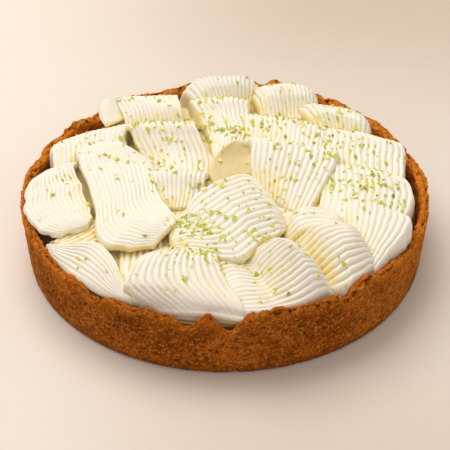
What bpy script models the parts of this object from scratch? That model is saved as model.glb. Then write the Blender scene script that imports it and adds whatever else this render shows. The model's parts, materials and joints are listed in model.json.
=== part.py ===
"""Lemon meringue pie: a pressed crumb crust, its filling and broad ribbons of piped cream.

Units are metres with +Z up.  The origin is the middle of the base, where the pie stands.
Tables of places and heights are in whole millimetres and are scaled by MM.
"""

import math
import random

import bmesh
import bpy
from mathutils import Vector

MM = 0.001

# Crust: a 23 cm loose-bottomed tin, with crumb pressed up its flared side.
RIM_RADIUS = 117.5 * MM
BASE_RADIUS = 113.4 * MM
RIM_HEIGHT = 39.0 * MM
WALL_THICKNESS = 7.4 * MM
BASE_THICKNESS = 6.0 * MM
BASE_EDGE_ROUND = 1.5 * MM
TURN_STEPS = 100

# Crumbled edge: angle round the pie and half width in degrees, rise in mm.
RIM_BUMPS = (
    (20, 11, -2.0), (38, 6, 1.0), (53, 6, 2.5), (61, 4, 2.5), (74, 5, 6.5), (81, 4, 3.0),
    (101, 5, 2.0), (112, 5, -1.0), (121, 5, 1.5), (135, 6, -3.5), (150, 6, -2.0),
    (163, 6, -2.0), (222, 8, -2.5), (233, 9, -7.0), (244, 7, -5.0), (253, 6, -4.0),
    (260, 6, -10.0), (271, 6, -12.0), (284, 6, 2.0), (304, 3, -5.0), (311, 6, 4.0),
    (332, 8, -1.8), (270, 90, 2.0), (90, 90, -1.8),
)
RIM_ROUGHNESS = 0.6 * MM
RIM_SEED = 7

# Filling: set level, and a little lower where it meets the crust.
FILLING_TOP = 31.5 * MM
FILLING_EDGE = 29.0 * MM
FILLING_LEVEL_SHARE = 0.9

# Low cream: a slumped disc on the filling that the ribbons are piped over.
LOW_CREAM_RADIUS = 93.0 * MM
LOW_CREAM_TOP = 39.0 * MM
LOW_CREAM_ROUND = 4.0 * MM
LOW_CREAM_STEPS = 48

# Ribbons: as wide as the nozzle slot.
GAP = 0.5 * MM
STEPS_ALONG = 10
STEPS_ACROSS = 5
FULL_CROWN_WIDTH = 30.0

# Ribbons from the last piped to the first.  Each station holds the two ends of the nozzle
# slot in mm (outer x, y, z, then inner x, y, z).  Crown is the rise in mm of the middle
# between them, one for all stations or one for each, and a higher power makes it fuller.
# A ribbon with a thickness is a sheet; one with a foot is solid down to that height in mm.
RIBBONS = {
    "ribbon_centre": dict(thick=6.0, crown=2, stations=(
        (-30, -66, 42, -33, -42, 43), (-21, -69, 46, -26, -34, 46), (-7, -74, 47, -22, -31, 49),
        (8, -77, 48, -18, -25, 52), (16, -69, 50, -11, -19, 55), (22, -61, 50, -1, -13, 57),
        (29, -56, 48, 10, -10, 58), (33, -51, 46, 21, -17, 54), (36, -45, 43, 31, -33, 45))),
    "ribbon_left_sweep": dict(thick=5.0, crown=2, stations=(
        (-87, 36, 43, -57, 42, 43), (-86, 21, 53, -58, 25, 54), (-81, -3, 52, -44, 14, 50),
        (-72, -34, 51, -39, -3, 49), (-66, -61, 50, -35, -18, 48), (-53, -67, 49, -30, -30, 48),
        (-38, -65, 47, -24, -40, 47))),
    "ribbon_front_dome": dict(foot=36, crown=(1, 1, 1, 1, 3, 6, 9, 8, 4), power=2, stations=(
        (13, -108, 38, -7, -75, 45), (18, -108, 38, -2, -71, 46), (24, -107, 38, 5, -71, 45),
        (28, -105, 38, 11, -70, 43), (36, -104, 39, 15, -67, 48), (44, -101, 40, 21, -66, 53),
        (50, -98, 41, 27, -68, 57), (55, -94, 40, 34, -69, 55), (57, -92, 37, 38, -67, 48))),
    "ribbon_front": dict(foot=30, crown=2, stations=(
        (-41, -62, 43, -4, -61, 43), (-47, -77, 49, -3, -73, 48), (-52, -88, 48, -1, -82, 46),
        (-53, -94, 46, 4, -92, 43), (-50, -96, 43, 9, -100, 41), (-45, -98, 39, 12, -106, 38),
        (-36, -102, 34, 13, -108, 34))),
    "ribbon_left": dict(thick=4.5, crown=2, stations=(
        (-104, 16, 40, -84, 27, 40), (-110, -6, 49, -85, 7, 51), (-111, -19, 48, -80, -5, 47),
        (-110, -33, 46, -77, -19, 46), (-103, -46, 45, -74, -28, 46),
        (-89, -50, 45, -73, -33, 46), (-74, -44, 46, -72, -35, 46))),
    "ribbon_small_curl": dict(foot=38, crown=1, stations=(
        (35, -53, 42, 33, -38, 46), (41, -52, 48, 39, -36, 52), (50, -51, 50, 50, -35, 53),
        (59, -53, 50, 61, -38, 52), (64, -57, 46, 67, -44, 47))),
    "ribbon_centre_curl": dict(foot=38, crown=1, stations=(
        (12, 34, 44, 66, 27, 44), (12, 29, 54, 66, 20, 52), (14, 25, 57, 65, 13, 53),
        (15, 19, 55, 62, 2, 51), (14, 9, 49, 55, -11, 47), (16, -4, 42, 46, -28, 41))),
    "ribbon_centre_scoop": dict(foot=38, crown=-2, stations=(
        (8, 33, 46, 26, 34, 46), (4, 28, 54, 26, 28, 54), (-6, 20, 49, 26, 20, 49),
        (-10, 11, 45, 28, 11, 45), (-8, 2, 42, 30, 4, 42))),
    "ribbon_front_right_dome": dict(foot=36, crown=(1, 3, 5, 7, 7, 5, 2), power=2, stations=(
        (57, -91, 38, 39, -54, 46), (60, -91, 39, 43, -52, 49), (64, -90, 40, 48, -51, 53),
        (68, -88, 41, 56, -51, 55), (74, -83, 41, 63, -52, 55), (79, -76, 41, 69, -51, 52),
        (83, -71, 38, 73, -51, 46))),
    "ribbon_front_right": dict(foot=37, crown=2, stations=(
        (66, -12, 41, 101, -30, 42), (67, -20, 47, 102, -43, 50), (66, -33, 47, 98, -54, 49),
        (66, -48, 45, 91, -64, 46), (64, -60, 41, 82, -74, 42))),
    "ribbon_right": dict(foot=38, crown=2, stations=(
        (56, 24, 41, 103, 3, 41), (55, 15, 48, 104, -6, 49), (54, -1, 47, 106, -15, 47),
        (52, -18, 44, 103, -27, 44), (50, -34, 41, 98, -42, 41))),
    "ribbon_inner_right": dict(foot=38, crown=2, stations=(
        (12, 74, 42, 63, 58, 42), (11, 60, 50, 61, 46, 50), (11, 50, 48, 58, 35, 48),
        (11, 40, 44, 56, 23, 45), (12, 28, 41, 55, 12, 41))),
    "ribbon_right_back": dict(foot=38, crown=2, stations=(
        (56, 60, 41, 97, 42, 41), (56, 48, 49, 103, 29, 50), (56, 38, 48, 105, 20, 48),
        (55, 26, 45, 104, 9, 44), (55, 12, 41, 102, 0, 41))),
    "ribbon_inner_left": dict(thick=4.0, crown=2, stations=(
        (-60, 54, 42, -14, 62, 42), (-58, 44, 53, -17, 47, 53), (-54, 34, 48, -13, 37, 48),
        (-49, 24, 43, -9, 27, 42), (-47, 12, 42, -8, 14, 41), (-44, -1, 51, -10, -1, 50),
        (-42, -13, 46, -12, -12, 45), (-39, -26, 41, -16, -24, 41))),
    "ribbon_inner_back": dict(foot=38, crown=3, stations=(
        (-24, 84, 45, 17, 88, 44), (-21, 71, 51, 15, 74, 51), (-16, 62, 48, 15, 66, 48),
        (-12, 52, 45, 17, 57, 45), (-10, 40, 43, 17, 47, 43), (-8, 28, 41, 12, 34, 41))),
    "ribbon_far_right_dome": dict(foot=36, crown=(5, 9, 11, 9, 3), power=4, stations=(
        (41, 80, 37, 83, 66, 37), (41, 76, 42, 87, 60, 42), (44, 70, 44, 88, 54, 44),
        (49, 62, 44, 87, 47, 44), (55, 53, 41, 84, 41, 41))),
    "ribbon_back_right_dome": dict(foot=36, crown=(5, 9, 11, 9, 3), power=4, stations=(
        (11, 94, 37, 50, 97, 37), (12, 89, 42, 56, 92, 42), (14, 84, 45, 58, 86, 45),
        (18, 76, 44, 58, 79, 44), (22, 68, 41, 56, 70, 41))),
    "ribbon_back_dome": dict(foot=36, crown=(6, 11, 13, 10, 3), power=4, stations=(
        (-29, 94, 38, 17, 100, 38), (-28, 90, 44, 21, 97, 44), (-26, 85, 47, 22, 92, 47),
        (-20, 78, 47, 21, 86, 46), (-13, 71, 43, 19, 80, 42))),
    "ribbon_back_left_arch": dict(thick=3.0, crown=2, stations=(
        (-72, 60, 40, -30, 86, 38), (-76, 66, 44, -30, 90, 44), (-76, 73, 48, -29, 86, 48),
        (-70, 76, 51, -28, 78, 50), (-64, 70, 49, -26, 70, 49), (-61, 63, 45, -25, 65, 45),
        (-61, 57, 40, -24, 60, 39))),
    "ribbon_left_back": dict(foot=37, crown=3, stations=(
        (-93, 44, 38, -55, 62, 38), (-99, 34, 46, -56, 50, 50), (-101, 27, 49, -57, 41, 50),
        (-101, 18, 47, -59, 30, 47), (-98, 8, 43, -61, 20, 43), (-94, 2, 39, -62, 12, 39))),
    "ribbon_front_left": dict(foot=36, crown=3, stations=(
        (-96, -58, 40, -94, -55, 43), (-91, -67, 39, -82, -60, 47), (-83, -76, 38, -68, -61, 49),
        (-74, -84, 38, -59, -72, 48), (-66, -90, 37, -53, -86, 44), (-58, -95, 37, -49, -95, 40))),
    "ribbon_front_left_under": dict(foot=37, crown=1, stations=(
        (-81, -29, 43, -60, -49, 43), (-87, -36, 42, -70, -58, 42), (-91, -46, 41, -85, -61, 41),
        (-93, -50, 41, -92, -53, 41))),
    "ribbon_front_left_inner": dict(foot=36, crown=1, stations=(
        (-57, -52, 43, -33, -55, 43), (-57, -69, 43, -33, -69, 43), (-56, -85, 42, -36, -87, 42),
        (-53, -93, 39, -38, -96, 39))),
}

CRUST_COLOUR = (0.36, 0.13, 0.03, 1.0)
FILLING_COLOUR = (0.45, 0.24, 0.08, 1.0)
CREAM_COLOUR = (0.93, 0.87, 0.76, 1.0)
CRUST_FINISH = 0.85
FILLING_FINISH = 0.5
CREAM_FINISH = 0.45


def clear_scene():
    """Remove whatever objects the file starts with."""
    for leftover in list(bpy.data.objects):
        bpy.data.objects.remove(leftover, do_unlink=True)


def new_collection(name):
    """Add a collection under the scene's own."""
    collection = bpy.data.collections.new(name)
    bpy.context.scene.collection.children.link(collection)
    return collection


def new_material(name, colour, roughness):
    """Principled material of one plain colour."""
    material = bpy.data.materials.new(name)
    material.use_nodes = True
    shader = material.node_tree.nodes["Principled BSDF"]
    shader.inputs["Base Color"].default_value = colour
    shader.inputs["Roughness"].default_value = roughness
    shader.inputs["Metallic"].default_value = 0.0
    return material


def new_object(name, mesh, collection):
    """Link a mesh as a named object."""
    piece = bpy.data.objects.new(name, mesh)
    collection.objects.link(piece)
    return piece


def evaluated_mesh(piece):
    """The mesh of an object with its modifiers applied."""
    depsgraph = bpy.context.evaluated_depsgraph_get()
    depsgraph.update()
    return bpy.data.meshes.new_from_object(piece.evaluated_get(depsgraph))


def bake_modifiers(piece):
    """Replace an object's mesh by its evaluated one, so that its points can be moved."""
    mesh = evaluated_mesh(piece)
    piece.modifiers.clear()
    piece.data = mesh


def turned_mesh(name, profile, collection, steps=TURN_STEPS):
    """Turn a profile of (radius, height) points round the Z axis with a Screw modifier."""
    mesh = bpy.data.meshes.new(name)
    outline = bmesh.new()
    points = [outline.verts.new((radius, 0.0, height)) for radius, height in profile]
    for start, end in zip(points, points[1:]):
        outline.edges.new((start, end))
    outline.to_mesh(mesh)
    outline.free()
    piece = new_object(name, mesh, collection)
    turn = piece.modifiers.new("Turn", "SCREW")
    turn.axis = "Z"
    turn.steps = steps
    turn.render_steps = steps
    turn.use_merge_vertices = True
    turn.merge_threshold = 0.0001
    turn.use_smooth_shade = False
    bake_modifiers(piece)
    return piece


def outer_radius(height):
    """Outer radius of the flared side at a height."""
    return BASE_RADIUS + (RIM_RADIUS - BASE_RADIUS) * height / RIM_HEIGHT


def inner_radius(height):
    """Inner radius of the side wall at a height."""
    return outer_radius(height) - WALL_THICKNESS


def rim_rise(degrees):
    """How far the crumbled rim stands above its mean height at an angle round the pie."""
    rise = 0.0
    for centre, half_width, height in RIM_BUMPS:
        away = abs((degrees - centre + 180.0) % 360.0 - 180.0)
        if away < half_width:
            rise += height * MM * 0.5 * (1.0 + math.cos(math.pi * away / half_width))
    return rise


def crust_profile():
    """Section of the crust from the middle of its floor, over the rim, to the base."""
    rim_round = WALL_THICKNESS / 3.0
    low_wall = 0.55 * RIM_HEIGHT
    high_wall = RIM_HEIGHT - rim_round
    return (
        (0.0, BASE_THICKNESS),
        (inner_radius(BASE_THICKNESS), BASE_THICKNESS),
        (inner_radius(low_wall), low_wall),
        (inner_radius(high_wall), high_wall),
        (inner_radius(RIM_HEIGHT) + rim_round, RIM_HEIGHT),
        (outer_radius(RIM_HEIGHT) - rim_round, RIM_HEIGHT),
        (outer_radius(high_wall), high_wall),
        (outer_radius(low_wall), low_wall),
        (outer_radius(BASE_EDGE_ROUND), BASE_EDGE_ROUND),
        (BASE_RADIUS - BASE_EDGE_ROUND, 0.0),
        (0.0, 0.0),
    )


def crumble_rim(mesh):
    """Raise and lower the rim round the pie, and roughen it."""
    rough = random.Random(RIM_SEED)
    low_wall = 0.55 * RIM_HEIGHT
    for point in mesh.vertices:
        share = (point.co.z - low_wall) / (RIM_HEIGHT - low_wall)
        if share <= 0.01:
            continue
        angle = math.degrees(math.atan2(point.co.y, point.co.x))
        point.co.z += share * rim_rise(angle) + share * rough.uniform(-1.0, 1.0) * RIM_ROUGHNESS


def make_crust(collection, material):
    """Pressed crumb shell."""
    crust = turned_mesh("crust", crust_profile(), collection)
    crumble_rim(crust.data)
    crust.data.materials.append(material)
    return crust


def make_filling(collection, material):
    """Solid filling, a hair clear of the crust all round."""
    top_radius = inner_radius(FILLING_EDGE) - GAP
    low = BASE_THICKNESS + GAP
    profile = (
        (0.0, FILLING_TOP),
        (FILLING_LEVEL_SHARE * top_radius, FILLING_TOP),
        (top_radius, FILLING_EDGE),
        (inner_radius(low) - GAP, low),
        (0.0, low),
    )
    filling = turned_mesh("filling", profile, collection)
    filling.data.materials.append(material)
    return filling


def make_low_cream(collection, material):
    """Slumped cream between the filling and the ribbons."""
    low = FILLING_TOP + GAP
    profile = (
        (0.0, LOW_CREAM_TOP),
        (LOW_CREAM_RADIUS - LOW_CREAM_ROUND, LOW_CREAM_TOP),
        (LOW_CREAM_RADIUS, LOW_CREAM_TOP - LOW_CREAM_ROUND),
        (LOW_CREAM_RADIUS, low),
        (0.0, low),
    )
    low_cream = turned_mesh("low_cream", profile, collection, LOW_CREAM_STEPS)
    low_cream.data.materials.append(material)
    return low_cream


def smooth_through(points, place):
    """Catmull-Rom curve through the points; place runs from 0 to len(points) - 1."""
    last = len(points) - 1
    index = min(int(place), last - 1)
    share = place - index
    before = points[index - 1] if index > 0 else 2.0 * points[0] - points[1]
    start = points[index]
    end = points[index + 1]
    after = points[index + 2] if index + 2 <= last else 2.0 * points[last] - points[last - 1]
    return 0.5 * (
        2.0 * start
        + (end - before) * share
        + (2.0 * before - 5.0 * start + 4.0 * end - after) * share ** 2
        + (3.0 * start - before - 3.0 * end + after) * share ** 3
    )


def ribbon_point(ribbon, along, across):
    """Point on a ribbon's top: along runs down the stroke, across from slot end to slot end."""
    stations = ribbon["stations"]
    place = along * (len(stations) - 1)
    outer = smooth_through([Vector(row[:3]) for row in stations], place)
    inner = smooth_through([Vector(row[3:]) for row in stations], place)
    crown = ribbon["crown"]
    if isinstance(crown, tuple):
        index = min(int(place), len(crown) - 2)
        crown = crown[index] + (crown[index + 1] - crown[index]) * (place - index)
    full = min(1.0, (inner - outer).length / FULL_CROWN_WIDTH)
    rise = crown * full * (1.0 - abs(2.0 * across - 1.0) ** ribbon.get("power", 2))
    return (outer.lerp(inner, across) + Vector((0.0, 0.0, rise))) * MM


def fill_down(sheet, foot):
    """Close a sheet into a solid with upright sides and a flat foot."""
    grown = bmesh.ops.extrude_face_region(sheet, geom=list(sheet.faces))
    for item in grown["geom"]:
        if isinstance(item, bmesh.types.BMVert):
            item.co.z = foot
    bmesh.ops.recalc_face_normals(sheet, faces=list(sheet.faces))


def make_ribbon(name, ribbon, collection, material):
    """Ribbon of cream: a grid laid over its stroke, filled down or given its depth."""
    mesh = bpy.data.meshes.new(name)
    sheet = bmesh.new()
    bmesh.ops.create_grid(sheet, x_segments=STEPS_ALONG, y_segments=STEPS_ACROSS, size=1.0)
    for point in sheet.verts:
        along = 0.5 + 0.5 * point.co.x
        across = 0.5 + 0.5 * point.co.y
        point.co = ribbon_point(ribbon, along, across)
    if "foot" in ribbon:
        fill_down(sheet, ribbon["foot"] * MM)
    sheet.to_mesh(mesh)
    sheet.free()
    piece = new_object(name, mesh, collection)
    if "thick" in ribbon:
        depth = piece.modifiers.new("Depth", "SOLIDIFY")
        depth.thickness = ribbon["thick"] * MM
        depth.offset = -1.0
        bake_modifiers(piece)
    piece.data.materials.append(material)
    return piece


def make_clearance(piece, collection):
    """Cutter that is the piece itself, swollen by the gap."""
    mesh = piece.data.copy()
    normals = [normal.vector.copy() for normal in mesh.vertex_normals]
    for point, normal in zip(mesh.vertices, normals):
        point.co += normal * GAP
    cutter = new_object(piece.name + "_clearance", mesh, collection)
    cutter.hide_render = True
    cutter.display_type = "WIRE"
    return cutter


def boxes_meet(first, second):
    """Whether the boxes round two objects' meshes overlap."""
    for axis in range(3):
        first_range = [point.co[axis] for point in first.data.vertices]
        second_range = [point.co[axis] for point in second.data.vertices]
        if max(first_range) < min(second_range) or max(second_range) < min(first_range):
            return False
    return True


def keep_largest_body(mesh):
    """Delete all but the largest connected body of a mesh."""
    body = bmesh.new()
    body.from_mesh(mesh)
    bodies = []
    waiting = set(body.faces)
    while waiting:
        found = {waiting.pop()}
        edge_of_search = list(found)
        while edge_of_search:
            face = edge_of_search.pop()
            for edge in face.edges:
                for neighbour in edge.link_faces:
                    if neighbour in waiting:
                        waiting.remove(neighbour)
                        found.add(neighbour)
                        edge_of_search.append(neighbour)
        bodies.append(found)
    largest = max(bodies, key=lambda faces: sum(face.calc_area() for face in faces))
    spare = [face for face in body.faces if face not in largest]
    bmesh.ops.delete(body, geom=spare, context="FACES")
    body.to_mesh(mesh)
    body.free()


def cut_ribbon(ribbon, cutters):
    """Cut a ribbon clear of the pieces that it lies under or rests on."""
    for cutter in cutters:
        if boxes_meet(ribbon, cutter):
            cut = ribbon.modifiers.new("Clear", "BOOLEAN")
            cut.operation = "DIFFERENCE"
            cut.solver = "EXACT"
            cut.object = cutter
    bake_modifiers(ribbon)
    keep_largest_body(ribbon.data)


def build_pie():
    """Build the crust, the filling and the cream, each piece clear of the others."""
    clear_scene()
    pie = new_collection("lemon_meringue_pie")
    tools = new_collection("cutters")
    crust = make_crust(pie, new_material("crust", CRUST_COLOUR, CRUST_FINISH))
    filling = make_filling(pie, new_material("filling", FILLING_COLOUR, FILLING_FINISH))
    cream = new_material("cream", CREAM_COLOUR, CREAM_FINISH)
    low_cream = make_low_cream(pie, cream)
    cutters = [make_clearance(base, tools) for base in (crust, filling, low_cream)]
    for name, ribbon in RIBBONS.items():
        piece = make_ribbon(name, ribbon, pie, cream)
        clearance = make_clearance(piece, tools)
        cut_ribbon(piece, cutters)
        cutters.append(clearance)


build_pie()
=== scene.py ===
"""Lemon meringue pie: crumb crust, ribbed ribbons of piped cream, lime zest and crumbs.

Laid out as an add-on and run as a script.  Tables of places are in whole millimetres.
"""

import json
import math
import random

import bpy
import numpy as np
from bpy.props import FloatProperty, FloatVectorProperty, IntProperty, PointerProperty
from mathutils import Matrix, Vector, noise
from mathutils.bvhtree import BVHTree

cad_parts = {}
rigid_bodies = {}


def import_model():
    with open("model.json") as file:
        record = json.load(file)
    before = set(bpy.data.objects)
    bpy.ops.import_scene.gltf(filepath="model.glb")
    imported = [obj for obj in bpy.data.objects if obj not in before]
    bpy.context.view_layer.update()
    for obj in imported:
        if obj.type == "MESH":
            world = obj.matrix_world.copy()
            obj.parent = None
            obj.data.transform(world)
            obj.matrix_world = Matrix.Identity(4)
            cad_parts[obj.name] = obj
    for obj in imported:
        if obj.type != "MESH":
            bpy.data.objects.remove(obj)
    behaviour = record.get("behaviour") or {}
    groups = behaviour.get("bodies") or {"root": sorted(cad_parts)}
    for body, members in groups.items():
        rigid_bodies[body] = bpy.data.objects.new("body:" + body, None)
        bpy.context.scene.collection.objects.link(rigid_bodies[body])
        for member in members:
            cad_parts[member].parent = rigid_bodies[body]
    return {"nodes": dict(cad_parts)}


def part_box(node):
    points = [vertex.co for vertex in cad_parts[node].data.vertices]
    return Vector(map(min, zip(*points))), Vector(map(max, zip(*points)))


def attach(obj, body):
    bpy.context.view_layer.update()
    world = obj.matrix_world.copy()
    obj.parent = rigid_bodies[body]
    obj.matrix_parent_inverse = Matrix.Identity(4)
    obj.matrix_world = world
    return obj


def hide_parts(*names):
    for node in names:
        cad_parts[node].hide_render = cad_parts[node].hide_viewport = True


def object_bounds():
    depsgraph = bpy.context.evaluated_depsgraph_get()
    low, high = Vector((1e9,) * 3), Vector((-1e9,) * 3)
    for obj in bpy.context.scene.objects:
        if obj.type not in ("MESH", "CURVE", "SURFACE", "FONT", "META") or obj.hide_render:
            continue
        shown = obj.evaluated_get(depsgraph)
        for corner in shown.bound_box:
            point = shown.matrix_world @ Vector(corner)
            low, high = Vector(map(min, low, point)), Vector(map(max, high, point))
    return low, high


bl_info = {
    "name": "Piped Cream Pie",
    "version": (1, 0, 0),
    "blender": (4, 5, 0),
    "location": "View3D > Sidebar > Pie",
    "description": "Dresses a pie with a crumb crust, ribbed cream and citrus zest",
    "category": "Add Mesh",
}

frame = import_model()
CAD_LOW, CAD_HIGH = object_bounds()
BODY = "root"
MM = 0.001

CRUST_LOW, CRUST_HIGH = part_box("crust")
CAD_FILLING_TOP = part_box("filling")[1].z
RIM_RADIUS = (CRUST_HIGH.x - CRUST_LOW.x) / 2.0 / MM
BASE_RADIUS = 114.0
BLACK, WHITE = (0.0, 0.0, 0.0), (1.0, 1.0, 1.0)

# ---------------------------------------------------------------- piping strokes

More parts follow.
